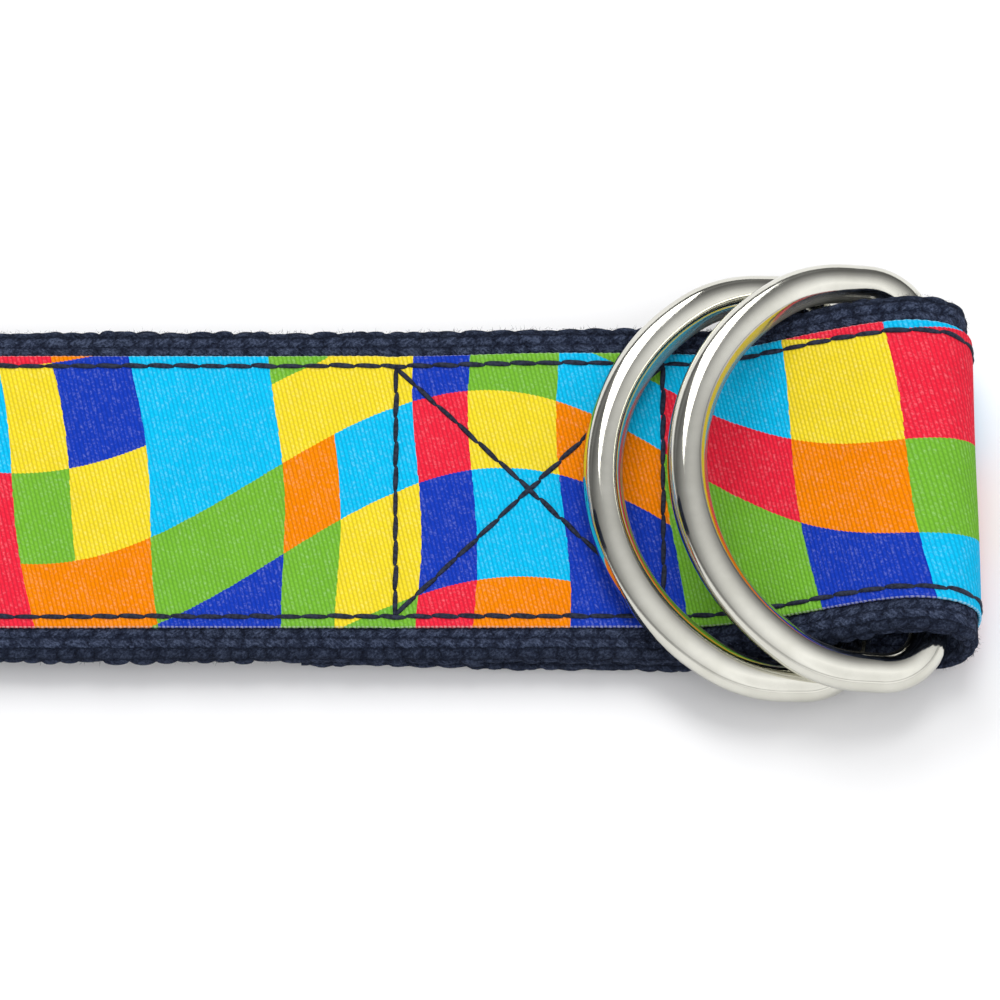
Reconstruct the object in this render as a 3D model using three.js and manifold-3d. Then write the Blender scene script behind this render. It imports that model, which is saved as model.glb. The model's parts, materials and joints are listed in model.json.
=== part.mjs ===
// Double D-ring strap: printed ribbon sewn on cotton webbing, one end folded round
// the bars of two D-rings and boxed down, the tail wound into a flat roll.
// Millimetres, +Z up. The strap runs along X and lies on z = 0, the rings are at +X.

import * as THREE from 'three';
import Module from 'manifold-3d';

const wasm = await Module();
wasm.setup();

// Band sections
const webWidth = 38;
const webThick = 2;
const ribbonWidth = 31.4;
const ribbonThick = 0.4;
const layerGap = 0.3;      // air left between two layers that touch in use
const threadWide = 0.4;
const threadThick = 0.25;
const threadGap = 0.1;
const seamInset = 1.2;     // edge seam's distance from the ribbon's edge

// Overall layout
const length = 250;
const rollPitch = 3.3;
const rollRadius = 40.3;   // centreline of the outermost turn
const rollTurns = 10;
const rollSteps = 32;      // facets in a turn

// D-rings
const wire = 4.2;
const ringInside = 40.1;   // clear width between the sides
const ringDepth = 30;      // outside, from bar to crown
const ringCorner = 5;      // centreline radius beside the bar
const ringCrown = 17.4;    // centreline depth of the half-oval crown
const buttGap = 0.3;       // the bent wire's ends meet in the middle of the bar

// Worked out from the above
const halfWeb = webThick / 2;
const ribbonLow = halfWeb + layerGap;
const ribbonHigh = ribbonLow + ribbonThick;
const threadLow = ribbonHigh + threadGap;
const threadHigh = threadLow + threadThick;
const loopEnd = length / 2 - (threadHigh - ribbonHigh);  // ribbon face at the fold
const underZ = ribbonHigh;                               // centreline heights
const upperZ = underZ + webThick + layerGap;
const floorZ = halfWeb;
const seamY = ribbonWidth / 2 - seamInset;
const rollX = -length / 2 + rollRadius - rollPitch / 4 + halfWeb;
const rollZ = rollRadius + floorZ;

// Stations along X
const underEnd = loopEnd - 71.4;
const boxLeft = loopEnd - 61.5;
const boxRight = loopEnd - 33.2;
const rampTop = 15;
const rampFoot = -60;
const seamEnd = -70;

const rings = {
  lower_d_ring: { x: loopEnd - 13.5, z: 5.0, tilt: 8.8 },
  upper_d_ring: { x: loopEnd - 5.7, z: 7.8, tilt: 11.5 },
};

const finishes = {
  webbing: new THREE.MeshStandardMaterial({ color: 0x2b3346, roughness: 0.95, metalness: 0 }),
  ribbon: new THREE.MeshStandardMaterial({ color: 0x27b6e0, roughness: 0.8, metalness: 0 }),
  thread: new THREE.MeshStandardMaterial({ color: 0x2c3448, roughness: 0.7, metalness: 0 }),
  nickel: new THREE.MeshStandardMaterial({ color: 0xc8c6b8, roughness: 0.2, metalness: 1 }),
};

const strap = new THREE.Group();

function addMesh(name, geometry, finish) {
  const mesh = new THREE.Mesh(geometry, finishes[finish]);
  mesh.name = name;
  strap.add(mesh);
  return mesh;
}

// Webbing centreline, in the XZ plane, in the order it is sewn:
// under layer, fold round the bars, upper layer, ramp down to the floor, roll.
function foldPoints() {
  const anchors = [
    [-10.5, underZ], [-7.5, underZ + 0.06], [-4.4, 2.35], [-2.3, 4.3], [-1.7, 7.2], [-2.1, 9.9],
    [-3.8, 11.9], [-6.8, 12.7], [-10.4, 12.0], [-15.0, 10.1], [-21.0, 7.2], [-24.0, 5.9],
    [-27.0, 4.8], [-30.0, 4.1], [-33.0, upperZ],
  ];
  const points = anchors.map(([x, z]) => new THREE.Vector3(loopEnd + x, 0, z));
  const curve = new THREE.CatmullRomCurve3(points, false, 'centripetal');
  return curve.getSpacedPoints(44).map((p) => new THREE.Vector2(p.x, p.z));
}

function rampPoints() {
  const steps = 10;
  const points = [];
  for (let i = 0; i <= steps; i += 1) {
    const t = i / steps;
    const ease = t * t * (3 - 2 * t);
    points.push(new THREE.Vector2(
      THREE.MathUtils.lerp(rampTop, rampFoot, t),
      THREE.MathUtils.lerp(upperZ, floorZ, ease),
    ));
  }
  return points;
}

function rollPoints() {
  const points = [];
  for (let i = 0; i <= rollTurns * rollSteps; i += 1) {
    const turn = i / rollSteps;
    const angle = -Math.PI / 2 - turn * 2 * Math.PI;
    const radius = rollRadius - rollPitch * turn;
    points.push(new THREE.Vector2(rollX + radius * Math.cos(angle), rollZ + radius * Math.sin(angle)));
  }
  return points;
}

const rollEntry = new THREE.Vector2(rollX + layerGap, floorZ);
const underStart = new THREE.Vector2(underEnd, underZ);
const fold = foldPoints();
const ramp = rampPoints();
const flatPath = [underStart, ...fold, ...ramp, rollEntry];
const rollPath = rollPoints();

// A band that follows a path at a stated distance from it, towards its printed side.
function bandGeometry(path, low, high, width, centreY = 0) {
  const normals = path.map((point, i) => {
    const before = path[Math.max(i - 1, 0)];
    const after = path[Math.min(i + 1, path.length - 1)];
    const along = after.clone().sub(before).normalize();
    return new THREE.Vector2(along.y, -along.x);
  });
  const edge = (distance) => path.map((p, i) => p.clone().addScaledVector(normals[i], distance));
  const outline = new THREE.Shape([...edge(high), ...edge(low).reverse()]);
  const geometry = new THREE.ExtrudeGeometry(outline, { depth: width, bevelEnabled: false });
  geometry.rotateX(Math.PI / 2);
  geometry.translate(0, centreY + width / 2, 0);
  return geometry;
}

function addBands() {
  addMesh('webbing_end', bandGeometry(flatPath, -halfWeb, halfWeb, webWidth), 'webbing');
  addMesh('webbing_roll', bandGeometry(rollPath, -halfWeb, halfWeb, webWidth), 'webbing');
  addMesh('ribbon_end', bandGeometry(flatPath, ribbonLow, ribbonHigh, ribbonWidth), 'ribbon');
  addMesh('ribbon_roll', bandGeometry(rollPath, ribbonLow, ribbonHigh, ribbonWidth), 'ribbon');
}

// Edge seams run from the foot of the ramp over the rings' loop, to where it turns under.
function addEdgeSeams() {
  const turnUnder = underZ + webThick;
  const outer = fold.findIndex((p) => p.y > turnUnder);
  const path = [...fold.slice(outer), ...ramp, new THREE.Vector2(seamEnd, floorZ)];
  const seams = { far_edge_seam: seamY, near_edge_seam: -seamY };
  for (const [name, y] of Object.entries(seams)) {
    addMesh(name, bandGeometry(path, threadLow, threadHigh, threadWide, y), 'thread');
  }
}

function addTailTack() {
  const tackSteps = 4;
  const path = rollPath.slice(-tackSteps - 2, -2);
  addMesh('tail_bar_tack', bandGeometry(path, threadLow, threadHigh, 2 * seamY - 1), 'thread');
}

function toSolid(geometry) {
  const positions = geometry.attributes.position;
  const seen = new Map();
  const vertices = [];
  const triangles = [];
  for (let i = 0; i < positions.count; i += 1) {
    const corner = [positions.getX(i), positions.getY(i), positions.getZ(i)];
    const key = corner.map((v) => v.toFixed(5)).join();
    if (!seen.has(key)) {
      seen.set(key, vertices.length / 3);
      vertices.push(...corner);
    }
    triangles.push(seen.get(key));
  }
  return new wasm.Manifold(new wasm.Mesh({
    numProp: 3,
    vertProperties: new Float32Array(vertices),
    triVerts: new Uint32Array(triangles),
  }));
}

function toGeometry(solid) {
  const mesh = solid.getMesh();
  const geometry = new THREE.BufferGeometry();
  geometry.setAttribute('position', new THREE.BufferAttribute(new Float32Array(mesh.vertProperties), 3));
  geometry.setIndex(new THREE.BufferAttribute(new Uint32Array(mesh.triVerts), 1));
  return geometry;
}

// One row of stitches between two points on top of the upper ribbon.
function stitchRow(fromX, fromY, toX, toY) {
  const run = Math.hypot(toX - fromX, toY - fromY);
  const row = new THREE.BoxGeometry(run, threadWide, threadThick).toNonIndexed();
  row.rotateZ(Math.atan2(toY - fromY, toX - fromX));
  row.translate((fromX + toX) / 2, (fromY + toY) / 2, upperZ + (threadLow + threadHigh) / 2);
  return toSolid(row);
}

// The crossed box that closes the fold: two rows across the strap and two diagonals.
function addBoxSeam() {
  const side = seamY - threadWide - 0.1;
  const rows = [
    stitchRow(boxLeft, -side, boxLeft, side),
    stitchRow(boxRight, -side, boxRight, side),
    stitchRow(boxLeft, -side, boxRight, side),
    stitchRow(boxLeft, side, boxRight, -side),
  ];
  const box = rows.reduce((sum, row) => sum.add(row));
  addMesh('box_x_seam', toGeometry(box), 'thread');
}

// The bent wire of a D-ring in its own plane: bar on the Y axis, crown towards -X.
class RingPath extends THREE.Curve {
  constructor() {
    super();
    const kappa = 0.5523;  // circle by cubic curves
    const side = (ringInside + wire) / 2;
    const depth = ringDepth - wire;
    const shoulder = depth - ringCrown;
    const barEnd = side - ringCorner;
    const at = (x, y) => new THREE.Vector3(-x, y, 0);
    this.parts = new THREE.CurvePath();
    const half = (sign) => [
      new THREE.LineCurve3(at(0, sign * buttGap / 2), at(0, sign * barEnd)),
      new THREE.CubicBezierCurve3(
        at(0, sign * barEnd),
        at(0, sign * (barEnd + kappa * ringCorner)),
        at(ringCorner * (1 - kappa), sign * side),
        at(ringCorner, sign * side),
      ),
      new THREE.LineCurve3(at(ringCorner, sign * side), at(shoulder, sign * side)),
      new THREE.CubicBezierCurve3(
        at(shoulder, sign * side),
        at(shoulder + kappa * ringCrown, sign * side),
        at(depth, sign * kappa * side),
        at(depth, 0),
      ),
    ];
    for (const part of half(1)) this.parts.add(part);
    for (const part of half(-1).reverse()) this.parts.add(this.turned(part));
  }

  turned(part) {
    if (part.isLineCurve3) return new THREE.LineCurve3(part.v2, part.v1);
    return new THREE.CubicBezierCurve3(part.v3, part.v2, part.v1, part.v0);
  }

  getPoint(t, target = new THREE.Vector3()) {
    return target.copy(this.parts.getPoint(t));
  }
}

function addRings() {
  const sides = 12;
  const section = new THREE.Shape();
  for (let i = 0; i < sides; i += 1) {
    const angle = (i / sides) * 2 * Math.PI;
    const x = (wire / 2) * Math.cos(angle);
    const y = (wire / 2) * Math.sin(angle);
    if (i === 0) section.moveTo(x, y);
    else section.lineTo(x, y);
  }
  for (const [name, place] of Object.entries(rings)) {
    const options = { steps: 64, bevelEnabled: false, extrudePath: new RingPath() };
    const ring = addMesh(name, new THREE.ExtrudeGeometry(section, options), 'nickel');
    ring.rotation.y = THREE.MathUtils.degToRad(place.tilt);
    ring.position.set(place.x, 0, place.z);
  }
}

addBands();
addRings();
addEdgeSeams();
addBoxSeam();
addTailTack();

export default strap;
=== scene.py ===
import json
import math

import bpy
import numpy as np
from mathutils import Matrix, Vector


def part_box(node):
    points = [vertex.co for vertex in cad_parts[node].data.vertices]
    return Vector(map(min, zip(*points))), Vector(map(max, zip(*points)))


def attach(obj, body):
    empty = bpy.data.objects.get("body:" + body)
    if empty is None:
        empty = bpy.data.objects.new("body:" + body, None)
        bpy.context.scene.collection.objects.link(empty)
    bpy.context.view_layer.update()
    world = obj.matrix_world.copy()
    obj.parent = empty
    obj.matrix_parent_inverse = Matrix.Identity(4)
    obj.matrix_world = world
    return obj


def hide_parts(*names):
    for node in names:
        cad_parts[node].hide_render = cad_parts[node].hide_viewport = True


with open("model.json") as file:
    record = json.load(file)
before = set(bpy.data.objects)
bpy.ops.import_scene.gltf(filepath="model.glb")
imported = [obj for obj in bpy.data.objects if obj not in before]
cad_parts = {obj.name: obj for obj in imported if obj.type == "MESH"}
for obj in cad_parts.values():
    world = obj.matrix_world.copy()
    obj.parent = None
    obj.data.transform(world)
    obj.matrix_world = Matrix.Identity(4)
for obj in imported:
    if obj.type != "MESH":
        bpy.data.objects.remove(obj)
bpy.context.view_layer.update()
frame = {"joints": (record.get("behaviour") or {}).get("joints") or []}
mm = 0.001
print("frame loaded")


def deselectAll():
    bpy.ops.object.select_all(action="DESELECT")


# camera, light and table
view = {
    "aim": (74.2, 1.4, 0.0),     # middle of the picture, on the table, in mm
    "elevation": 66,             # degrees above the table
    "distance": 1300,
    "pictureWidth": 106.2,       # mm across at the aim point
    "sensor": 36,
}


def makeCamera():
    bpy.ops.object.camera_add()
    camera = bpy.context.object
    camera.name = "productCamera"
    tilt = math.radians(view["elevation"])
    aim = Vector(view["aim"]) * mm
    back = Vector((0, -math.cos(tilt), math.sin(tilt)))
    camera.location = aim + back * view["distance"] * mm
    camera.rotation_euler = (math.pi / 2 - tilt, 0, 0)
    camera.data.sensor_width = view["sensor"]
    camera.data.lens = view["sensor"] * view["distance"] / view["pictureWidth"]
    camera.data.clip_start = 0.05
    camera.data.clip_end = 30
    bpy.context.scene.camera = camera
    return camera


# the tall window shows in the rings, the soft overhead light doesn't
lamps = {
    "windowLight": {"place": (-170, 730, 640), "size": (480, 900), "watts": 6.2, "shows": True},
    "overheadLight": {"place": (170, 240, 880), "size": (300, 300), "watts": 2.0, "shows": False},
}


def makeLamp(name, lamp):
    place = Vector(lamp["place"]) * mm
    bpy.ops.object.light_add(type="AREA", location=place)
    light = bpy.context.object
    light.name = name
    light.data.shape = "RECTANGLE"
    light.data.size = lamp["size"][0] * mm
    light.data.size_y = lamp["size"][1] * mm
    light.data.energy = lamp["watts"]
    light.visible_glossy = lamp["shows"]
    toAim = Vector(view["aim"]) * mm - place
    light.rotation_euler = toAim.to_track_quat("-Z", "Y").to_euler()


# The room is bright in front and to the right, dim behind and to the left.
room = {
    "bright": (0.35, -0.72, 0.60),
    # brightness by the cosine of the angle from the bright side
    "levels": [
        (-1.0, 0.20), (-0.45, 0.26), (-0.32, 0.16), (-0.1, 0.27),
        (0.22, 0.52), (0.6, 1.05), (0.85, 1.45), (1.0, 1.25),
    ],
    "shelf": (0.15, 0.22),       # a thin dark line round the room, as the sine of its height
    "shelfLevel": 0.55,
    "shelfBlur": 0.015,
    "strength": 0.98,
}


def makeRoom():
    world = bpy.data.worlds.new("studioRoom")
    bpy.context.scene.world = world
    world.use_nodes = True
    nodes, links = world.node_tree.nodes, world.node_tree.links
    nodes.clear()
    out = nodes.new("ShaderNodeOutputWorld")
    background = nodes.new("ShaderNodeBackground")
    background.inputs["Strength"].default_value = room["strength"]
    direction = nodes.new("ShaderNodeTexCoord").outputs["Generated"]
    toward = nodes.new("ShaderNodeVectorMath")
    toward.operation = "DOT_PRODUCT"
    toward.inputs[1].default_value = room["bright"]
    links.new(direction, toward.inputs[0])
    half = nodes.new("ShaderNodeMath")
    half.operation = "MULTIPLY_ADD"
    half.inputs[1].default_value = 0.5
    half.inputs[2].default_value = 0.5
    links.new(toward.outputs["Value"], half.inputs[0])
    height = nodes.new("ShaderNodeSeparateXYZ")
    links.new(direction, height.inputs[0])
    low, high = room["shelf"]
    dim, blur = room["shelfLevel"], room["shelfBlur"]
    levels = [(at / 2 + 0.5, level) for at, level in room["levels"]]
    shelf = [(0.0, 1.0), (low - blur, 1.0), (low, dim), (high, dim), (high + blur, 1.0)]
    ramps = []
    for source, stops in ((half.outputs[0], levels), (height.outputs["Z"], shelf)):
        ramp = nodes.new("ShaderNodeValToRGB")
        while len(ramp.color_ramp.elements) < len(stops):
            ramp.color_ramp.elements.new(0.5)
        for stop, (at, level) in zip(ramp.color_ramp.elements, stops):
            stop.position = at
            stop.color = (level, level, level * 1.01, 1)
        links.new(source, ramp.inputs["Fac"])
        ramps.append(ramp.outputs["Color"])
    both = nodes.new("ShaderNodeVectorMath")
    both.operation = "MULTIPLY"
    links.new(ramps[0], both.inputs[0])
    links.new(ramps[1], both.inputs[1])
    links.new(both.outputs[0], background.inputs["Color"])
    links.new(background.outputs[0], out.inputs["Surface"])


table = {"size": 16.0, "white": 0.87}


def makeTable():
    deselectAll()
    bpy.ops.mesh.primitive_plane_add(size=table["size"], location=(0, 0, 0))
    top = bpy.context.object
    top.name = "table"
    finish = bpy.data.materials.new("tablePaper")
    finish.use_nodes = True
    shader = finish.node_tree.nodes["Principled BSDF"]
    white = table["white"]
    shader.inputs["Base Color"].default_value = (white, white, white, 1)
    shader.inputs["Roughness"].default_value = 0.95
    shader.inputs["Specular IOR Level"].default_value = 0.1
    top.data.materials.append(finish)


makeCamera()
for lampName, lampSettings in lamps.items():
    makeLamp(lampName, lampSettings)
makeRoom()
makeTable()
bpy.context.scene.view_settings.view_transform = "Standard"
print("camera, light and table ready")


# the line that the strap follows
strap = {
    "webWidth": 38.0,
    "webThick": 2.3,
    "ribbonWidth": 31.4,
    "ribbonThick": 0.42,
    "underZ": 1.7,               # centre of the webbing in the under layer
    "upperZ": 4.0,
    "floorZ": 1.0,
    "underEnd": -71.4,           # from the fold's outer face
    "rampTop": 15.0,
    "rampFoot": -60.0,
    "rollPitch": 3.3,
    "rollRadius": 40.3,
    "rollTurns": 10,
    "rollAt": -84.0,             # where the strap enters the roll, along X
    "box": (-61.5, -33.2),       # both ends of the stitched box, from the fold's outer face
    "swell": 0.17,               # how much fuller the section is in the roll
    # the bars press the loop thinner inside: it starts, is full, eases and ends at these stations
    "pressed": (60, 69, 86, 95),
    "pressedShare": 0.42,
    "lean": 0.040,               # the fold's far edge stands higher than its near edge
    "skew": 0.018,
    "lift": 0.024,
    "underShift": 0.62,          # the under layer lies a little to the far side
    # centre of the webbing round the fold: distance from the fold's outer face, height
    "foldPoints": [
        (-10.5, 1.7), (-7.5, 1.76), (-4.4, 2.35), (-2.3, 4.3), (-1.7, 7.2), (-2.1, 9.9),
        (-3.8, 11.9), (-6.8, 12.7), (-10.4, 12.0), (-15.0, 10.1), (-21.0, 7.2), (-24.0, 5.9),
        (-27.0, 4.8), (-30.0, 4.1), (-33.0, 4.0),
    ],
}
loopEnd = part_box("ribbon_end")[1][0] / mm
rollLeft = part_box("webbing_roll")[0][0] / mm


def smoothLine(points, perSpan):
    knots = np.vstack([2 * points[0] - points[1], points, 2 * points[-1] - points[-2]])
    pieces = []
    for i in range(1, len(knots) - 2):
        a, b, c, d = knots[i - 1:i + 3]
        t0 = 0.0
        t1 = t0 + math.sqrt(np.linalg.norm(b - a))
        t2 = t1 + math.sqrt(np.linalg.norm(c - b))
        t3 = t2 + math.sqrt(np.linalg.norm(d - c))
        t = np.linspace(t1, t2, perSpan, endpoint=False)[:, None]
        ab = (t1 - t) / (t1 - t0) * a + (t - t0) / (t1 - t0) * b
        bc = (t2 - t) / (t2 - t1) * b + (t - t1) / (t2 - t1) * c
        cd = (t3 - t) / (t3 - t2) * c + (t - t2) / (t3 - t2) * d
        abc = (t2 - t) / (t2 - t0) * ab + (t - t0) / (t2 - t0) * bc
        bcd = (t3 - t) / (t3 - t1) * bc + (t - t1) / (t3 - t1) * cd
        pieces.append((t2 - t) / (t2 - t1) * abc + (t - t1) / (t2 - t1) * bcd)
    pieces.append(points[-1][None])
    return np.vstack(pieces)


def strapLine():
    fold = np.array([(loopEnd + x, z) for x, z in strap["foldPoints"]])
    under = np.array([(loopEnd + strap["underEnd"], strap["underZ"])])
    t = np.linspace(0, 1, 60)
    ease = t * t * (3 - 2 * t)
    rampX = strap["rampTop"] + (strap["rampFoot"] - strap["rampTop"]) * t
    rampZ = strap["upperZ"] + (strap["floorZ"] - strap["upperZ"]) * ease
    turn = np.linspace(0, strap["rollTurns"], strap["rollTurns"] * 180)
    radius = strap["rollRadius"] - strap["rollPitch"] * turn
    angle = -math.pi / 2 - turn * 2 * math.pi
    rollX = rollLeft + strap["rollRadius"] - strap["rollPitch"] / 4 + 1.0
    rollZ = strap["rollRadius"] + strap["floorZ"]
    roll = np.column_stack([rollX + radius * np.cos(angle), rollZ + radius * np.sin(angle)])
    corners = np.vstack([under, smoothLine(fold, 24), np.column_stack([rampX, rampZ]), roll])
    steps = np.linalg.norm(np.diff(corners, axis=0), axis=1)
    run = np.concatenate([[0], np.cumsum(steps)])
    even = np.arange(0, run[-1], 0.2)
    line = np.column_stack([np.interp(even, run, corners[:, 0]), np.interp(even, run, corners[:, 1])])
    return even, line


lineAt, linePoints = strapLine()
lineAlong = np.gradient(linePoints, axis=0)
kernel = np.ones(7) / 7                  # takes the corners out of the facing direction
for axis in (0, 1):
    padded = np.pad(lineAlong[:, axis], 3, mode="edge")
    lineAlong[:, axis] = np.convolve(padded, kernel, mode="valid")
lineAlong /= np.linalg.norm(lineAlong, axis=1)[:, None]
strapLength = lineAt[-1]
upperStart = lineAt[np.argmax(linePoints[:, 0])]


def stationOfX(x):
    upper = lineAt > upperStart
    flat = lineAt < upperStart + 260
    keep = upper & flat
    return float(np.interp(-x, -linePoints[keep, 0], lineAt[keep]))


middle = stationOfX(view["aim"][0])      # station of the picture's middle on the upper layer
rollStart = stationOfX(strap["rollAt"])
boxLeft = stationOfX(loopEnd + strap["box"][0])
boxRight = stationOfX(loopEnd + strap["box"][1])
print("strap is", round(strapLength / 1000, 3), "m long")


def bump(x, rise, top, fall, end):
    up = np.clip((x - rise) / (top - rise), 0, 1)
    down = np.clip((end - x) / (end - fall), 0, 1)
    up = up * up * (3 - 2 * up)
    down = down * down * (3 - 2 * down)
    return up * down


# station s along the strap, v across it, n out of its printed face, all in mm
def strapPoint(s, v, n):
    x = np.interp(s, lineAt, linePoints[:, 0])
    z = np.interp(s, lineAt, linePoints[:, 1])
    alongX = np.interp(s, lineAt, lineAlong[:, 0])
    alongZ = np.interp(s, lineAt, lineAlong[:, 1])
    lean = bump(s, upperStart - 3, upperStart + 6, upperStart + 20, stationOfX(94))
    skew = bump(s, upperStart - 16, upperStart - 6, upperStart + 2, upperStart + 10)
    lift = bump(s, stationOfX(98), stationOfX(90), stationOfX(82), stationOfX(62))
    under = 1 - np.clip(s / 42, 0, 1)
    wound = np.clip((s - rollStart) / 25, 0, 1)
    n = n * (1 + strap["swell"] * wound)
    n = np.where(n < 0, n * (1 - strap["pressedShare"] * bump(s, *strap["pressed"])), n)
    x = x + n * alongZ - strap["skew"] * v * skew
    y = v + strap["underShift"] * under * under * (3 - 2 * under)
    z = z - n * alongX + strap["lean"] * v * lean + strap["lift"] * (v + strap["webWidth"] / 2) * lift
    return np.column_stack([x, y, z]) * mm


def hashed(a, b, seed):
    # one fixed random number from 0 to 1 for each pair of whole numbers
    mixed = np.sin(a * 127.1 + b * 311.7 + seed * 74.7) * 43758.5453
    return mixed - np.floor(mixed)


# stations get closer where the camera looks
def stations(start, end, fine, coarse, fineFrom, fineTo):
    step = coarse
    places = [start]
    while places[-1] < end:
        here = places[-1]
        step = fine if fineFrom <= here <= fineTo else coarse
        places.append(here + step)
    places[-1] = end
    if places[-1] - places[-2] < step * 0.4:
        places.pop(-2)
    return np.array(places)


# a closed band: rings of points, quads between them and a fan at each end
def bandMesh(name, s, v, n, across):
    rows, columns = v.shape
    sAll = np.repeat(s, columns)
    points = strapPoint(sAll, v.ravel(), n.ravel())
    capStart = strapPoint(s[:1], np.zeros(1), n[0].mean(keepdims=True))
    capEnd = strapPoint(s[-1:], np.zeros(1), n[-1].mean(keepdims=True))
    points = np.vstack([points, capStart, capEnd])
    index = np.arange(rows * columns).reshape(rows, columns)
    following = np.roll(index, -1, axis=1)
    quads = np.stack([index[:-1], following[:-1], following[1:], index[1:]], axis=-1).reshape(-1, 4)
    faces = [tuple(q) for q in quads.tolist()]
    first, last = rows * columns, rows * columns + 1
    faces += [(first, int(following[0, j]), int(index[0, j])) for j in range(columns)]
    faces += [(last, int(index[-1, j]), int(following[-1, j])) for j in range(columns)]
    mesh = bpy.data.meshes.new(name)
    mesh.from_pydata(points.tolist(), [], faces)
    layer = mesh.uv_layers.new(name="strapUv")
    corner = np.zeros(len(mesh.loops), dtype=np.int32)
    mesh.loops.foreach_get("vertex_index", corner)
    u = np.concatenate([middle - sAll, [middle - s[0], middle - s[-1]]])
    across = np.concatenate([across.ravel(), [0, 0]])
    layer.data.foreach_set("uv", np.column_stack([u[corner], across[corner]]).ravel())
    mesh.polygons.foreach_set("use_smooth", [True] * len(mesh.polygons))
    piece = bpy.data.objects.new(name, mesh)
    bpy.context.scene.collection.objects.link(piece)
    return piece


# webbing
webbing = {
    "loopPitch": 2.3,            # yarn turns along the strap
    "rowPitch": 1.2,             # yarn rows across it
    "sway": 0.25,
    "swayAlong": 0.37,
    "swayRow": 1.9,
    "height": 0.30,
    "edgeHeight": 0.42,
    "border": 2.7,               # bare webbing beside the ribbon
}


# the section is a stadium; w runs round each half of it from the middle of the printed face
def webbingSection(fineStep, wideStep, arcSteps):
    half = strap["webThick"] / 2
    flat = strap["webWidth"] / 2 - half
    inner = flat - webbing["border"]
    centre = np.linspace(0, inner, int(inner / wideStep) + 1)
    border = np.linspace(inner, flat, int(webbing["border"] / fineStep) + 1)[1:]
    arc = np.linspace(0, math.pi, arcSteps + 1)[1:-1]
    below = np.linspace(inner, flat, int(webbing["border"] / fineStep / 1.6) + 1)[1:][::-1]
    v = np.concatenate([centre, border, flat + half * np.sin(arc), below, centre[:0:-1]])
    n = np.concatenate([np.full(len(centre) + len(border), half), half * np.cos(arc),
                        np.full(len(below) + len(centre) - 1, -half)])
    outV = np.concatenate([np.zeros(len(centre) + len(border)), np.sin(arc),
                           np.zeros(len(below) + len(centre) - 1)])
    step = np.hypot(np.diff(v), np.diff(n))
    w = np.concatenate([[0], np.cumsum(step)])
    back = slice(None, 0, -1)
    v = np.concatenate([v, [0], -v[back]])
    n = np.concatenate([n, [-half], n[back]])
    outV = np.concatenate([outV, [0], -outV[back]])
    w = np.concatenate([w, [w[-1] + centre[1]], w[back]])
    return v, n, outV, w


def dome(part):
    return np.sqrt(np.clip(1 - (2 * part - 1) ** 2, 0, 1))


def yarnHeight(u, w):
    row = np.floor(w / webbing["rowPitch"])
    sway = webbing["sway"] * np.sin(u * webbing["swayAlong"] + row * webbing["swayRow"])
    place = u / webbing["loopPitch"] + 0.5 * np.mod(row, 2) + sway
    column = np.floor(place)
    size = 0.35 + 1.0 * hashed(row, column, 3)
    return size * dome(place - column) * dome(w / webbing["rowPitch"] - row) ** 0.7


fuzz = {
    "seed": 5,
    "count": 3600,
    "length": (0.14, 0.46),
    "radius": 0.017,
    "joints": 2,
    "corners": 3,
    "inset": 1.1,
    "tilt": (-0.1, 1.0),         # in quarter turns up from the cut side
    "faceShare": 0.3,            # how many stand on the face, beside the ribbon
    "faceBand": (15.9, 18.0),
    "spread": 0.9,
    "curl": 0.45,
    "taper": 0.6,
}


# loose cotton hairs that stand off both borders, each a thin three-sided cone
def makeFuzz(name, start, end):
    chance = np.random.default_rng(fuzz["seed"])
    points, faces = [], []
    sideMiddle = strap["webWidth"] / 2 - fuzz["inset"]
    face = strap["webThick"] / 2
    ring = fuzz["corners"]
    for _ in range(fuzz["count"]):
        s = chance.uniform(start, end)
        side = 1 if chance.random() < 0.5 else -1
        tilt = chance.uniform(*fuzz["tilt"]) * math.pi / 2
        v = side * (sideMiddle + face * math.cos(tilt))
        n = face * math.sin(tilt)
        if chance.random() < fuzz["faceShare"]:
            v, n = side * chance.uniform(*fuzz["faceBand"]), face
        length = chance.uniform(*fuzz["length"])
        away = np.array([0.0, side * math.cos(tilt), math.sin(tilt) * 0.8])
        out = chance.normal(0, fuzz["spread"], 3) + away
        out *= length / np.linalg.norm(out)
        curl = chance.normal(0, fuzz["curl"], 3) * length
        base = len(points)
        for j in range(fuzz["joints"]):
            part = j / fuzz["joints"]
            centre = out * part + curl * part * part
            radius = fuzz["radius"] * (1 - fuzz["taper"] * part)
            for k in range(ring):
                turn = 2 * math.pi * k / ring
                points.append((s + centre[0] + radius * math.cos(turn),
                               v + centre[1] + radius * math.sin(turn),
                               n + centre[2] + radius * math.sin(turn + 1)))
        tip = out + curl
        points.append((s + tip[0], v + tip[1], n + tip[2]))
        last = base + ring * fuzz["joints"]
        faces.append((base + 2, base + 1, base))
        for j in range(fuzz["joints"] - 1):
            for k in range(ring):
                a, b = base + j * ring + k, base + j * ring + (k + 1) % ring
                faces.append((a, b, b + ring, a + ring))
        top = last - ring
        faces += [(top + k, top + (k + 1) % ring, last) for k in range(ring)]
    places = np.array(points)
    mesh = bpy.data.meshes.new(name)
    mesh.from_pydata(strapPoint(places[:, 0], places[:, 1], places[:, 2]).tolist(), [], faces)
    mesh.uv_layers.new(name="strapUv")
    hairs = bpy.data.objects.new(name, mesh)
    bpy.context.scene.collection.objects.link(hairs)
    return hairs


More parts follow.
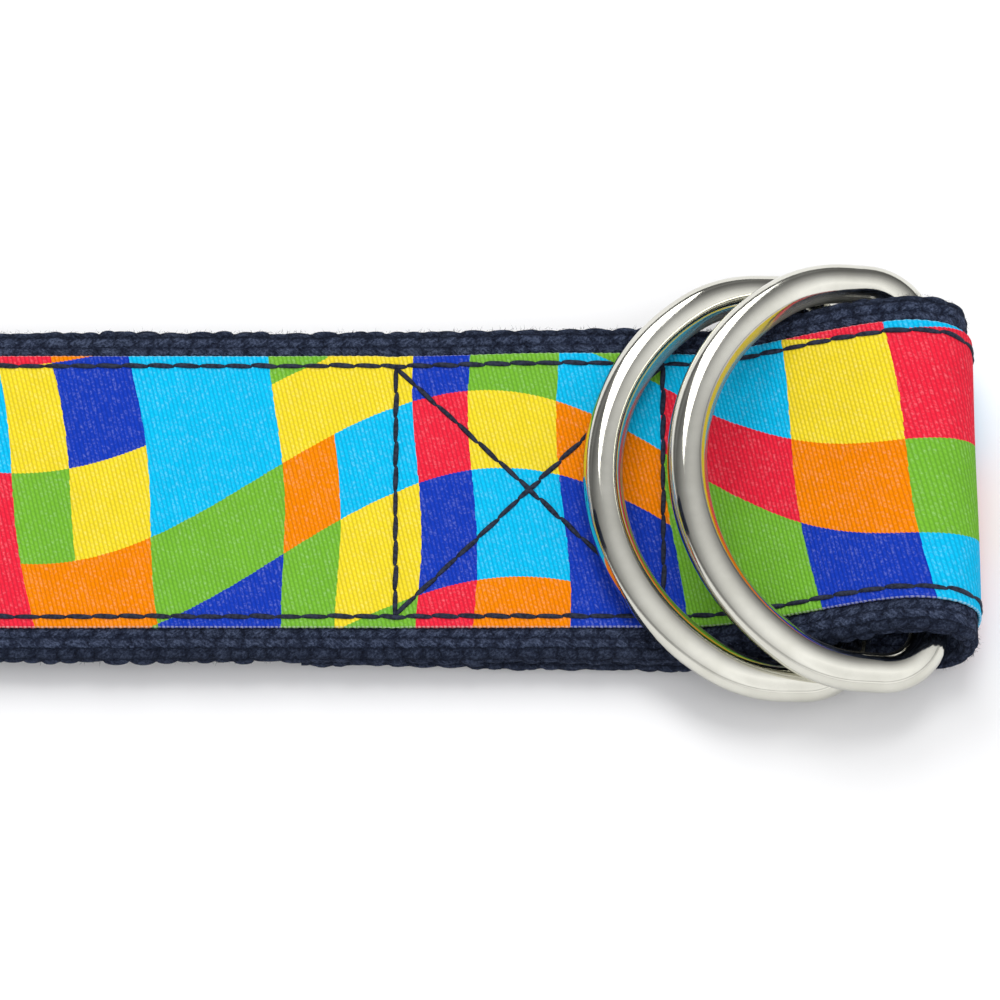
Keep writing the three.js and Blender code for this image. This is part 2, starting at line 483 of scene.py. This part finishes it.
def joinInto(piece, extra):
    deselectAll()
    extra.select_set(True)
    piece.select_set(True)
    bpy.context.view_layer.objects.active = extra
    bpy.ops.object.mode_set(mode="EDIT")
    bpy.ops.mesh.select_all(action="SELECT")
    bpy.ops.mesh.normals_make_consistent(inside=False)
    bpy.ops.object.mode_set(mode="OBJECT")
    bpy.context.view_layer.objects.active = piece
    bpy.ops.object.join()


def makeWebbing(name, start, end, steps, section, nodes):
    s = stations(start, end, *steps)
    v0, n0, outV0, w0 = webbingSection(*section)
    shape = (len(s), len(v0))
    v, n, outV, w = (np.tile(a, (shape[0], 1)) for a in (v0, n0, outV0, w0))
    s2 = np.repeat(s, shape[1]).reshape(shape)
    onSide = np.abs(outV) > 0
    height = np.where(onSide, webbing["edgeHeight"], webbing["height"])
    lift = height * (yarnHeight(middle - s2, w) - 0.55)
    covered = (n > 0) & (np.abs(v) < strap["ribbonWidth"] / 2 - 0.2)
    lift = np.where(covered, -0.05, lift)
    outN = np.where(onSide, n / (strap["webThick"] / 2), np.sign(n))
    piece = bandMesh(name, s, v + lift * outV, n + lift * outN, w)
    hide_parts(*nodes)
    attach(piece, "strap")
    return piece


# printed ribbon
ribbon = {
    "seamAt": 14.5,
    "clearance": 0.02,           # between the webbing's face and the ribbon
    "stitchPitch": 2.75,
    "boxPitch": 3.0,
    "pull": 0.10,                # how far the thread pulls the ribbon in
    "boxPull": 0.16,
}


def ribbonSection(fine):
    half = strap["ribbonWidth"] / 2
    seam = ribbon["seamAt"]
    if fine:
        edge = np.array([half, half - 0.12, half - 0.4, seam + 0.45, seam + 0.2, seam,
                         seam - 0.2, seam - 0.45, seam - 0.9, seam - 1.5])
        centre = np.linspace(-12.4, 12.4, 29)
    else:
        edge = np.array([half, half - 0.3, seam, seam - 0.8])
        centre = np.linspace(-12.4, 12.4, 9)
    top = np.concatenate([-edge, centre, edge[::-1]])
    bottom = np.linspace(half, -half, 13)
    low = strap["webThick"] / 2 + ribbon["clearance"]
    high = low + strap["ribbonThick"]
    v = np.concatenate([top, bottom])
    n = np.concatenate([np.full(len(top), high), np.full(len(bottom), low)])
    rounding = np.abs(v) > half - 0.01
    n = np.where(rounding & (n > low), high - 0.12, n)
    n = np.where(rounding & (n < high - 0.13), low + 0.08, n)
    upper = np.concatenate([np.ones(len(top)), np.zeros(len(bottom))])
    return v, n, upper


def groove(distance, width):
    return np.exp(-(distance / width) ** 2)


def ribbonDip(s, v):
    stitch = 0.65 + 0.35 * np.cos(2 * math.pi * s / ribbon["stitchPitch"])
    dip = ribbon["pull"] * stitch * groove(np.abs(v) - ribbon["seamAt"], 0.45)
    inBox = (s > boxRight - 1.5) & (s < boxLeft + 1.5)
    across = (s - boxRight) / (boxLeft - boxRight)
    diagonal = ribbon["seamAt"] * (2 * across - 1)
    rows = groove(s - boxLeft, 0.8) + groove(s - boxRight, 0.8)
    cross = groove(v - diagonal, 1.0) + groove(v + diagonal, 1.0)
    dip = dip + ribbon["boxPull"] * rows
    dip = dip + ribbon["boxPull"] * 0.8 * np.where(inBox, np.clip(cross, 0, 1), 0)
    wave = 0.05 * np.sin(s * 0.31 + 1.3) * np.sin(v * 0.27 + s * 0.05)
    return dip + wave


def makeRibbon(name, start, end, steps, fine, nodes):
    s = stations(start, end, *steps)
    v0, n0, upper0 = ribbonSection(fine)
    v = np.tile(v0, (len(s), 1))
    n = np.tile(n0, (len(s), 1))
    s2 = np.repeat(s, len(v0)).reshape(-1, len(v0))
    beads = 0.035 * np.sin(2 * math.pi * s2 / 0.92)
    v = v + np.sign(v) * np.where(np.abs(v) > strap["ribbonWidth"] / 2 - 0.2, beads, 0)
    n = n - np.where(upper0 > 0, ribbonDip(s2, v), 0)
    piece = bandMesh(name, s, v, n, v)
    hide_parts(*nodes)
    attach(piece, "strap")
    return piece


nearBy = (middle - 62, middle + 62)
webbingEnd = makeWebbing("webbingEnd", 0.0, rollStart, (0.28, 0.6, upperStart - 26, nearBy[1]),
                         (0.24, 1.6, 10), ["webbing_end"])
webbingRoll = makeWebbing("webbingRoll", rollStart, strapLength, (0.8, 0.8, 0, 0),
                          (0.6, 4.0, 6), ["webbing_roll"])
joinInto(webbingEnd, makeFuzz("cottonHairs", upperStart - 20, middle + 60))
ribbonEnd = makeRibbon("ribbonEnd", 0.6, rollStart, (0.3, 0.8, *nearBy), True, ["ribbon_end"])
ribbonRoll = makeRibbon("ribbonRoll", rollStart, strapLength - 0.4, (1.6, 1.6, 0, 0), False,
                        ["ribbon_roll"])
print("webbing and ribbon woven")


# D-rings
dRing = {
    "wire": 4.2,
    "side": 22.15,               # centre of the wire, from the ring's middle line
    "depth": 25.6,               # centre of the wire, from bar to crown
    "cornerRadius": 5.4,
    "shoulder": 7.6,             # where the ring is widest, from the bar
    "shoulderRadius": 13.0,
    "gap": 0.3,
    "sides": 40,
}
# turn in degrees about X, Y and Z, shift in mm: they keep the bars nearly clear of the loop
ringPlaces = {
    "lowerDRing": {"node": "lower_d_ring", "body": "lower_ring", "joint": "lower_ring_swing",
                   "turn": (1.6, 9.6, 3.6), "shift": (-0.9, 0.4, 0.3)},
    "upperDRing": {"node": "upper_d_ring", "body": "upper_ring", "joint": "upper_ring_swing",
                   "turn": (1.6, 12.6, 1.8), "shift": (-0.1, 0.1, 0)},
}


def pushWire(dx, dy):
    bpy.ops.mesh.extrude_region_move(TRANSFORM_OT_translate={"value": (dx * mm, dy * mm, 0)})


def bendWire(centre, degrees, steps):
    # spin turns the other way round, so the angle is negative
    bpy.ops.mesh.spin(steps=steps, dupli=False, angle=math.radians(-degrees),
                      center=(centre[0] * mm, centre[1] * mm, 0), axis=(0, 0, 1))


# The ring is bent flat at the origin: bar on the Y axis, crown towards -X.
def bendRing(name):
    deselectAll()
    bpy.ops.mesh.primitive_circle_add(
        vertices=dRing["sides"], radius=dRing["wire"] / 2 * mm, fill_type="NGON",
        location=(0, dRing["gap"] / 2 * mm, 0), rotation=(math.pi / 2, 0, 0))
    ring = bpy.context.object
    ring.name = name
    bpy.ops.object.transform_apply(location=True, rotation=True, scale=True)
    side, corner, shoulder = dRing["side"], dRing["cornerRadius"], dRing["shoulderRadius"]
    shoulderX = -dRing["shoulder"]
    # the crown's radius is the one that meets both shoulders without a kink
    rise = dRing["depth"] - dRing["shoulder"]
    crown = (rise ** 2 + (side - shoulder) ** 2 - shoulder ** 2) / (2 * (rise - shoulder))
    crownX = crown - dRing["depth"]
    turn = math.degrees(math.atan2(crownX - shoulderX, side - shoulder))
    bpy.ops.object.mode_set(mode="EDIT")
    bpy.ops.mesh.select_all(action="SELECT")
    pushWire(0, side - corner - dRing["gap"] / 2)
    bendWire((-corner, side - corner), 90, 14)
    pushWire(shoulderX + corner, 0)
    bendWire((shoulderX, side - shoulder), turn, 14)
    bendWire((crownX, 0), 2 * (90 - turn), 44)
    bendWire((shoulderX, shoulder - side), turn, 14)
    pushWire(-corner - shoulderX, 0)
    bendWire((-corner, corner - side), 90, 14)
    pushWire(0, side - corner - dRing["gap"] / 2)
    bpy.ops.mesh.select_all(action="SELECT")
    bpy.ops.mesh.remove_doubles(threshold=0.00001)
    bpy.ops.mesh.normals_make_consistent(inside=False)
    bpy.ops.object.mode_set(mode="OBJECT")
    return ring


def clamped(level):
    return min(1, max(0, level))


def placeRing(ring, place):
    joint = next(j for j in frame["joints"] if j["name"] == place["joint"])
    pivot = Vector(joint["pos_m"])
    ring.rotation_euler = [math.radians(angle) for angle in place["turn"]]
    ring.location = pivot + Vector(place["shift"]) * mm
    deselectAll()
    ring.select_set(True)
    bpy.context.view_layer.objects.active = ring
    bpy.ops.object.transform_apply(location=True, rotation=True, scale=True)
    bpy.ops.object.shade_smooth_by_angle(angle=math.radians(50))
    # painted shade: the inner underside of each ring is marked for a dark, dull finish that stands in
    # for its reflection of the shaded cloth
    paintedInnerShade = ring.data.attributes.new("paintedInnerShade", "FLOAT", "POINT")
    middleOfRing = pivot - Vector((dRing["depth"] * 0.5 * mm, 0, 0))
    for vertex, level in zip(ring.data.vertices, paintedInnerShade.data):
        inward = (middleOfRing - vertex.co).normalized()
        facesIn = vertex.normal.x * inward.x + vertex.normal.y * inward.y
        level.value = clamped(facesIn * 1.8 - 0.7) * clamped(0.9 - vertex.normal.z * 1.4)
    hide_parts(place["node"])
    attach(ring, place["body"])


for ringName, ringPlace in ringPlaces.items():
    placeRing(bendRing(ringName), ringPlace)
print("rings bent")


# stitches
thread = {
    "width": 0.56,
    "height": 0.40,
    "length": 1.12,
    "rise": 0.08,
    "dive": 0.20,
    "slew": 2.0,                 # degrees off the row
}


# One stitch, one unit long: a flattened bead, slim where it dives into the cloth.
def modelStitch():
    deselectAll()
    bpy.ops.mesh.primitive_uv_sphere_add(segments=7, ring_count=8, radius=0.5,
                                         rotation=(0, math.pi / 2, 0))
    bead = bpy.context.object
    bpy.ops.object.transform_apply(location=True, rotation=True, scale=True)
    points = np.array([v.co[:] for v in bead.data.vertices])
    faces = [tuple(p.vertices) for p in bead.data.polygons]
    bpy.data.objects.remove(bead)
    part = 2 * points[:, 0]
    bulge = np.sqrt(np.clip(1 - part ** 2, 1e-4, 1))
    full = (1 - 0.55 * np.abs(part) ** 3) / np.maximum(bulge, 0.4)
    points[:, 0] *= thread["length"]
    points[:, 1] *= full * thread["width"]
    points[:, 2] = points[:, 2] * full * thread["height"] + thread["rise"]
    points[:, 2] -= thread["dive"] * np.abs(part) ** 4
    return points, faces


stitchPoints, stitchFaces = modelStitch()


# a row of stitches from one (s, v) to another; every stitch bends with the cloth under it
def stitchRow(sFrom, vFrom, sTo, vTo, front=True, pitch=ribbon["stitchPitch"]):
    length = math.hypot(sTo - sFrom, vTo - vFrom)
    count = max(1, round(length / pitch))
    forward = np.array([sTo - sFrom, vTo - vFrom]) / length
    sideways = np.array([-forward[1], forward[0]])
    rows = []
    for i in range(count):
        luck = hashed(i * 1.0, count + sFrom, 2)
        slew = math.radians(thread["slew"] + 4 * (luck - 0.5))
        x = stitchPoints[:, 0] * length / count
        y = stitchPoints[:, 1] * (0.92 + 0.16 * luck) + x * math.tan(slew) + 0.05 * (luck - 0.5)
        middlePart = (i + 0.5) / count * length
        s = sFrom + forward[0] * (middlePart + x) + sideways[0] * y
        v = vFrom + forward[1] * (middlePart + x) + sideways[1] * y
        if front:
            face = strap["webThick"] / 2 + ribbon["clearance"] + strap["ribbonThick"]
            n = face - ribbonDip(s, v) + stitchPoints[:, 2]
        else:
            n = -strap["webThick"] / 2 - stitchPoints[:, 2]
        rows.append(strapPoint(s, v, n))
    return rows


def joinStitches(name, rows, node):
    faces = []
    for i in range(len(rows)):
        base = i * len(stitchPoints)
        faces += [tuple(base + k for k in face) for face in stitchFaces]
    mesh = bpy.data.meshes.new(name)
    mesh.from_pydata(np.vstack(rows).tolist(), [], faces)
    mesh.polygons.foreach_set("use_smooth", [True] * len(mesh.polygons))
    piece = bpy.data.objects.new(name, mesh)
    bpy.context.scene.collection.objects.link(piece)
    deselectAll()
    piece.select_set(True)
    bpy.context.view_layer.objects.active = piece
    bpy.ops.object.mode_set(mode="EDIT")
    bpy.ops.mesh.select_all(action="SELECT")
    bpy.ops.mesh.normals_make_consistent(inside=False)
    bpy.ops.object.mode_set(mode="OBJECT")
    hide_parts(node)
    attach(piece, "strap")


seams = {"start": 2.0, "backStart": 3.4, "stopShort": 3, "boxInset": 0.2}
tack = {"count": 22, "width": 26, "from": 5.5, "to": 2.8, "slant": 0.5}


def makeSeams():
    seam = ribbon["seamAt"]
    last = strapLength - seams["stopShort"]
    for name, node, v in (("farEdgeStitches", "far_edge_seam", seam),
                          ("nearEdgeStitches", "near_edge_seam", -seam)):
        rows = stitchRow(seams["start"], v, last, v)
        rows += stitchRow(seams["backStart"], v, last, v, front=False)
        joinStitches(name, rows, node)
    rows = []
    inner = seam - seams["boxInset"]
    pitch = ribbon["boxPitch"]
    for front in (True, False):
        rows += stitchRow(boxLeft, -inner, boxLeft, inner, front, pitch)
        rows += stitchRow(boxRight, -inner, boxRight, inner, front, pitch)
        rows += stitchRow(boxLeft, -inner, boxRight, inner, front, pitch)
        rows += stitchRow(boxLeft, inner, boxRight, -inner, front, pitch)
    joinStitches("boxStitches", rows, "box_x_seam")
    rows = []
    tackFrom, tackTo = strapLength - tack["from"], strapLength - tack["to"]
    for i in range(tack["count"]):
        v = -tack["width"] / 2 + tack["width"] * (i + 0.5) / tack["count"]
        rows += stitchRow(tackFrom, v, tackTo, v + tack["slant"])
        rows += stitchRow(tackFrom, v, tackTo, v + tack["slant"], front=False)
    joinStitches("tailStitches", rows, "tail_bar_tack")


makeSeams()
print("stitches sewn")


# finishes
class materialNodes:
    def __init__(self, name):
        self.material = bpy.data.materials.new(name)
        self.material.use_nodes = True
        self.tree = self.material.node_tree
        self.shader = self.tree.nodes["Principled BSDF"]

    def new(self, kind, **settings):
        node = self.tree.nodes.new(kind)
        for key, value in settings.items():
            setattr(node, key, value)
        return node

    def put(self, socket, value):
        if isinstance(value, bpy.types.NodeSocket):
            self.tree.links.new(value, socket)
        else:
            socket.default_value = value

    def math(self, operation, a, b=0.0, c=0.0):
        node = self.new("ShaderNodeMath", operation=operation)
        for socket, value in zip(node.inputs, (a, b, c)):
            self.put(socket, value)
        return node.outputs[0]

    def mixColour(self, factor, a, b, blend="MIX"):
        node = self.new("ShaderNodeMix", data_type="RGBA", blend_type=blend)
        self.put(node.inputs[0], factor)
        self.put(node.inputs[6], a)
        self.put(node.inputs[7], b)
        return node.outputs[2]

    def noise(self, vector, scale, detail=3.0, roughness=0.5):
        node = self.new("ShaderNodeTexNoise")
        self.put(node.inputs["Vector"], vector)
        node.inputs["Scale"].default_value = scale
        node.inputs["Detail"].default_value = detail
        node.inputs["Roughness"].default_value = roughness
        return node.outputs["Fac"]

    def ramp(self, factor, stops, constant=False):
        node = self.new("ShaderNodeValToRGB")
        elements = node.color_ramp.elements
        node.color_ramp.interpolation = "CONSTANT" if constant else "LINEAR"
        while len(elements) < len(stops):
            elements.new(0.5)
        for element, (at, colour) in zip(elements, stops):
            element.position = at
            element.color = (*colour, 1)
        self.put(node.inputs[0], factor)
        return node.outputs["Color"]

    def bumpFrom(self, height, strength, distance, normal=None):
        node = self.new("ShaderNodeBump")
        node.inputs["Strength"].default_value = strength
        node.inputs["Distance"].default_value = distance
        self.put(node.inputs["Height"], height)
        if normal is not None:
            self.put(node.inputs["Normal"], normal)
        return node.outputs[0]

    def uv(self, name):
        return self.new("ShaderNodeUVMap", uv_map=name).outputs[0]

    def split(self, vector):
        node = self.new("ShaderNodeSeparateXYZ")
        self.put(node.inputs[0], vector)
        return node.outputs[0], node.outputs[1]

    def join(self, x, y, z=0.0):
        node = self.new("ShaderNodeCombineXYZ")
        for socket, value in zip(node.inputs, (x, y, z)):
            self.put(socket, value)
        return node.outputs[0]


def linear(red, green, blue):
    def one(channel):
        share = channel / 255
        return share / 12.92 if share <= 0.04045 else ((share + 0.055) / 1.055) ** 2.4
    return one(red), one(green), one(blue)


dyes = {
    "cyan": linear(10, 187, 233),
    "yellow": linear(240, 214, 44),
    "red": linear(234, 40, 62),
    "green": linear(116, 180, 52),
    "blue": linear(22, 58, 176),
    "orange": linear(243, 132, 0),
}

# The print is a wavy check. Columns of set widths repeat along the ribbon and lean most in the
# troughs of the waves that cut them. Each wave crests a little later than the one above it.
printed = {
    "start": -60.0,              # first column, from the picture's middle
    "widths": (8.5, 6.0, 8.0, 14.0, 6.0, 8.5, 6.0, 9.5, 11.0, 15.0, 12.0, 11.5),
    "lean": 0.16,                # mm along for each mm across
    "sway": 0.5,
    "swayLength": 34.0,
    "waveLength": 94.0,
    "crest": -6.0,
    "lag": 2.0,
    # trough and crest of each wave, top to bottom
    "waves": ((14.5, 26.0), (2.0, 19.0), (-8.5, 11.5), (-18.0, 2.5), (-27.0, -10.0)),
    # one row of colours above the first wave and one below each wave
    "rows": [
        "green red orange cyan green green green green green green red cyan",
        "cyan yellow blue cyan green yellow blue green green cyan yellow red",
        "red green yellow cyan yellow yellow blue green cyan red orange green",
        "red orange orange green orange cyan red yellow orange green blue cyan",
        "red orange green blue green yellow blue cyan blue green blue cyan",
        "red orange green blue green green red orange blue yellow blue cyan",
    ],
}


def printedWave(nodes, u, crestPlace):
    late = nodes.math("SUBTRACT", u, crestPlace)
    return nodes.math("COSINE", nodes.math("MULTIPLY", late, 2 * math.pi / printed["waveLength"]))


def printedColumn(nodes, u, v):
    trough = nodes.math("MULTIPLY_ADD", printedWave(nodes, u, printed["crest"]), -0.5, 0.5)
    lean = nodes.math("MULTIPLY", trough, printed["lean"])
    swayPlace = nodes.math("ADD", nodes.math("MULTIPLY", u, 1 / printed["waveLength"]),
                           nodes.math("MULTIPLY", v, 1 / printed["swayLength"]))
    sway = nodes.math("SINE", nodes.math("MULTIPLY", swayPlace, 2 * math.pi))
    upright = nodes.math("MULTIPLY_ADD", sway, printed["sway"], nodes.math("MULTIPLY_ADD", lean, v, u))
    fromStart = nodes.math("SUBTRACT", upright, printed["start"])
    return nodes.math("FRACT", nodes.math("DIVIDE", fromStart, sum(printed["widths"])))


def dyedRow(nodes, column, names):
    widths = printed["widths"]
    edges = [sum(widths[:count]) / sum(widths) for count in range(len(widths))]
    stops = [(edge, dyes[name]) for edge, name in zip(edges, names.split())]
    return nodes.ramp(column, stops, constant=True)


def printedCheck(nodes, u, v):
    column = printedColumn(nodes, u, v)
    colour = dyedRow(nodes, column, printed["rows"][0])
    for line, (trough, crest) in enumerate(printed["waves"]):
        dyed = dyedRow(nodes, column, printed["rows"][line + 1])
        wave = printedWave(nodes, u, printed["crest"] + printed["lag"] * line)
        level = nodes.math("MULTIPLY_ADD", wave, (crest - trough) / 2, (crest + trough) / 2)
        colour = nodes.mixColour(nodes.math("LESS_THAN", v, level), colour, dyed)
    return colour


twill = {"rib": 0.456, "lean": 0.23, "float": 0.62, "shift": 0.41}


def ribbonCloth():
    nodes = materialNodes("printedTwill")
    u, v = nodes.split(nodes.uv("strapUv"))
    slanted = nodes.math("MULTIPLY_ADD", v, twill["lean"], u)
    ribPlace = nodes.math("DIVIDE", slanted, twill["rib"])
    rib = nodes.math("FLOOR", ribPlace)
    ribPart = nodes.math("SUBTRACT", ribPlace, rib)
    floatPlace = nodes.math("MULTIPLY_ADD", rib, twill["shift"], nodes.math("DIVIDE", v, twill["float"]))
    floatCell = nodes.math("FLOOR", floatPlace)
    floatPart = nodes.math("SUBTRACT", floatPlace, floatCell)
    ribRound = nodes.math("SINE", nodes.math("MULTIPLY", ribPart, math.pi))
    floatRound = nodes.math("SINE", nodes.math("MULTIPLY", floatPart, math.pi))
    yarn = nodes.math("MULTIPLY", ribRound, nodes.math("MULTIPLY_ADD", floatRound, 0.45, 0.55))
    luck = nodes.new("ShaderNodeTexWhiteNoise", noise_dimensions="3D")
    nodes.put(luck.inputs["Vector"], nodes.join(rib, floatCell))
    speck = luck.outputs["Value"]
    # the print follows the yarns, so its edges are a little ragged
    shiftV = nodes.math("MULTIPLY_ADD", ribPart, 0.10, -0.05)
    shiftU = nodes.math("MULTIPLY_ADD", speck, 0.10, -0.05)
    colour = printedCheck(nodes, nodes.math("ADD", u, shiftU), nodes.math("ADD", v, shiftV))
    # painted shade: the grooves between the twill ribs are darkened, as shade in the recesses
    dark = nodes.mixColour(1.0, colour, (0.66, 0.68, 0.74, 1), "MULTIPLY")
    colour = nodes.mixColour(yarn, dark, colour)
    # painted highlights: small pale glints on the tops of some yarns
    fibrePlace = nodes.join(nodes.math("MULTIPLY", slanted, 4.6), nodes.math("MULTIPLY", v, 3.6))
    glitter = nodes.noise(fibrePlace, 1.0, 2, 0.6)
    bright = nodes.math("MULTIPLY_ADD", speck, 0.20, glitter)
    glintMask = nodes.ramp(bright, [(0.60, (0, 0, 0)), (0.86, (1, 1, 1))])
    glintMask = nodes.math("MULTIPLY", nodes.math("MULTIPLY", glintMask, yarn), 0.32)
    glintColour = nodes.mixColour(0.36, colour, (0.95, 0.97, 1.0, 1))
    colour = nodes.mixColour(glintMask, colour, glintColour)
    # the undyed weft shows along both cut edges
    edge = nodes.math("GREATER_THAN", nodes.math("ABSOLUTE", v), strap["ribbonWidth"] / 2 - 0.10)
    bareWeft = nodes.math("MULTIPLY", nodes.math("MULTIPLY", edge, ribRound), 0.4)
    colour = nodes.mixColour(bareWeft, colour, (0.62, 0.62, 0.60, 1))
    cloudy = nodes.noise(nodes.join(u, v), 0.35, 2)
    shade = nodes.ramp(cloudy, [(0.3, (0.94, 0.94, 0.94)), (0.7, (1.0, 1.0, 1.0))])
    colour = nodes.mixColour(1.0, colour, shade, "MULTIPLY")
    nodes.put(nodes.shader.inputs["Base Color"], colour)
    nodes.shader.inputs["Roughness"].default_value = 0.85
    nodes.shader.inputs["Specular IOR Level"].default_value = 0.06
    nodes.put(nodes.shader.inputs["Normal"], nodes.bumpFrom(yarn, 0.55, 0.00011))
    return nodes.material


def domeNode(nodes, part):
    centred = nodes.math("MULTIPLY_ADD", part, 2.0, -1.0)
    square = nodes.math("MULTIPLY", centred, centred)
    return nodes.math("SQRT", nodes.math("MAXIMUM", nodes.math("SUBTRACT", 1.0, square), 0.0))


# the same rows and loops of yarn as yarnHeight, with the plies that are too fine to model
def webbingCotton():
    nodes = materialNodes("heavyCotton")
    u, w = nodes.split(nodes.uv("strapUv"))
    wander = nodes.new("ShaderNodeTexNoise")
    nodes.put(wander.inputs["Vector"], nodes.join(u, w))
    wander.inputs["Scale"].default_value = 0.85
    wander.inputs["Detail"].default_value = 2.0
    drift = nodes.new("ShaderNodeSeparateColor")
    nodes.put(drift.inputs[0], wander.outputs["Color"])
    u = nodes.math("ADD", u, nodes.math("MULTIPLY_ADD", drift.outputs[0], 1.5, -0.75))
    w = nodes.math("ADD", w, nodes.math("MULTIPLY_ADD", drift.outputs[1], 0.7, -0.35))
    rowPlace = nodes.math("DIVIDE", w, webbing["rowPitch"])
    row = nodes.math("FLOOR", rowPlace)
    odd = nodes.math("FLOORED_MODULO", row, 2.0)
    along = nodes.math("MULTIPLY", u, webbing["swayAlong"])
    sway = nodes.math("SINE", nodes.math("MULTIPLY_ADD", row, webbing["swayRow"], along))
    sway = nodes.math("MULTIPLY_ADD", sway, webbing["sway"], nodes.math("MULTIPLY", odd, 0.5))
    place = nodes.math("ADD", nodes.math("DIVIDE", u, webbing["loopPitch"]), sway)
    part = nodes.math("FRACT", place)
    lump = nodes.math("MULTIPLY", domeNode(nodes, part), domeNode(nodes, nodes.math("FRACT", rowPlace)))
    lean = nodes.math("MULTIPLY_ADD", odd, 2.0, -1.0)
    plyAlong = nodes.math("MULTIPLY", u, 1.15)
    plyPlace = nodes.math("MULTIPLY_ADD", nodes.math("MULTIPLY", w, lean), 1.7, plyAlong)
    ply = nodes.math("SINE", nodes.math("MULTIPLY", plyPlace, 2 * math.pi))
    ply = nodes.math("MULTIPLY_ADD", ply, 0.5, 0.5)
    strand = nodes.join(nodes.math("MULTIPLY", plyPlace, 2.2), nodes.math("MULTIPLY", u, 0.9), row)
    fibre = nodes.noise(strand, 1.6, 4, 0.7)
    place3d = nodes.new("ShaderNodeTexCoord").outputs["Object"]
    fluff = nodes.noise(place3d, 3400, 3, 0.7)
    blotch = nodes.noise(nodes.join(u, w), 0.5, 2, 0.5)
    # painted shade and highlights: the gaps between yarn loops go near black and the loop tops paler;
    # the fibre and fluff noise is partly random fibre tone and partly painted pale fibre highlights
    tone = nodes.math("MULTIPLY", lump, 0.24)
    tone = nodes.math("MULTIPLY_ADD", ply, 0.05, tone)
    tone = nodes.math("MULTIPLY_ADD", fibre, 0.60, tone)
    tone = nodes.math("MULTIPLY_ADD", fluff, 0.85, tone)
    tone = nodes.math("MULTIPLY_ADD", blotch, 0.20, tone)
    colour = nodes.ramp(nodes.math("MULTIPLY", tone, 0.60), [
        (0.34, (0.0015, 0.0020, 0.0050)), (0.50, (0.0080, 0.0105, 0.022)),
        (0.60, (0.020, 0.027, 0.051)), (0.74, (0.078, 0.100, 0.165)),
    ])
    # the cut sides are painted darker than the face
    fromSide = nodes.math("ABSOLUTE", nodes.math("SUBTRACT", w, strap["webWidth"] / 2 + 0.65))
    onSide = nodes.math("LESS_THAN", fromSide, 1.8)
    colour = nodes.mixColour(nodes.math("MULTIPLY", onSide, 0.40), colour, (0.002, 0.003, 0.006, 1))
    nodes.put(nodes.shader.inputs["Base Color"], colour)
    nodes.shader.inputs["Roughness"].default_value = 1.0
    nodes.shader.inputs["Specular IOR Level"].default_value = 0.06
    nodes.shader.inputs["Sheen Weight"].default_value = 0.05
    nodes.shader.inputs["Sheen Roughness"].default_value = 0.6
    nodes.shader.inputs["Sheen Tint"].default_value = (0.4, 0.5, 0.8, 1)
    height = nodes.math("MULTIPLY_ADD", ply, 0.35, nodes.math("MULTIPLY", fibre, 0.8))
    height = nodes.math("MULTIPLY_ADD", fluff, 1.1, nodes.math("ADD", height, lump))
    nodes.put(nodes.shader.inputs["Normal"], nodes.bumpFrom(height, 1.0, 0.00028))
    return nodes.material


def polishedNickel():
    nodes = materialNodes("polishedNickel")
    place = nodes.new("ShaderNodeTexCoord").outputs["Object"]
    haze = nodes.noise(place, 260, 4, 0.6)
    rough = nodes.ramp(haze, [(0.35, (0.07, 0.07, 0.07)), (0.75, (0.15, 0.15, 0.15))])
    tone = nodes.ramp(haze, [(0.3, (0.58, 0.572, 0.505)), (0.7, (0.65, 0.642, 0.575))])
    # painted shade: where the inner mark is set the nickel turns dark, rougher and less metallic,
    # standing in for a reflection of shaded cloth
    paintedInnerShade = nodes.new("ShaderNodeAttribute", attribute_name="paintedInnerShade").outputs["Fac"]
    tone = nodes.mixColour(nodes.math("MULTIPLY", paintedInnerShade, 0.90), tone, (0.045, 0.052, 0.038, 1))
    nodes.put(nodes.shader.inputs["Roughness"], nodes.math("MULTIPLY_ADD", paintedInnerShade, 0.35, rough))
    nodes.put(nodes.shader.inputs["Metallic"], nodes.math("MULTIPLY_ADD", paintedInnerShade, -0.85, 1.0))
    nodes.put(nodes.shader.inputs["Base Color"], tone)
    pits = nodes.noise(place, 1500, 2, 0.5)
    nodes.put(nodes.shader.inputs["Normal"], nodes.bumpFrom(pits, 0.03, 0.0001))
    return nodes.material


def sewingThread():
    nodes = materialNodes("navyThread")
    place = nodes.new("ShaderNodeTexCoord").outputs["Object"]
    plies = nodes.noise(place, 2600, 2, 0.5)
    colour = nodes.ramp(plies, [(0.35, (0.006, 0.008, 0.018)), (0.62, (0.022, 0.028, 0.052))])
    nodes.put(nodes.shader.inputs["Base Color"], colour)
    nodes.shader.inputs["Roughness"].default_value = 0.7
    nodes.shader.inputs["Specular IOR Level"].default_value = 0.2
    nodes.put(nodes.shader.inputs["Normal"], nodes.bumpFrom(plies, 0.5, 0.0001))
    return nodes.material


def dress(names, material):
    for name in names:
        piece = bpy.data.objects[name]
        piece.data.materials.clear()
        piece.data.materials.append(material)


dress(["webbingEnd", "webbingRoll"], webbingCotton())
dress(["ribbonEnd", "ribbonRoll"], ribbonCloth())
dress(["lowerDRing", "upperDRing"], polishedNickel())
dress(["farEdgeStitches", "nearEdgeStitches", "boxStitches", "tailStitches"], sewingThread())
print("finishes mixed")
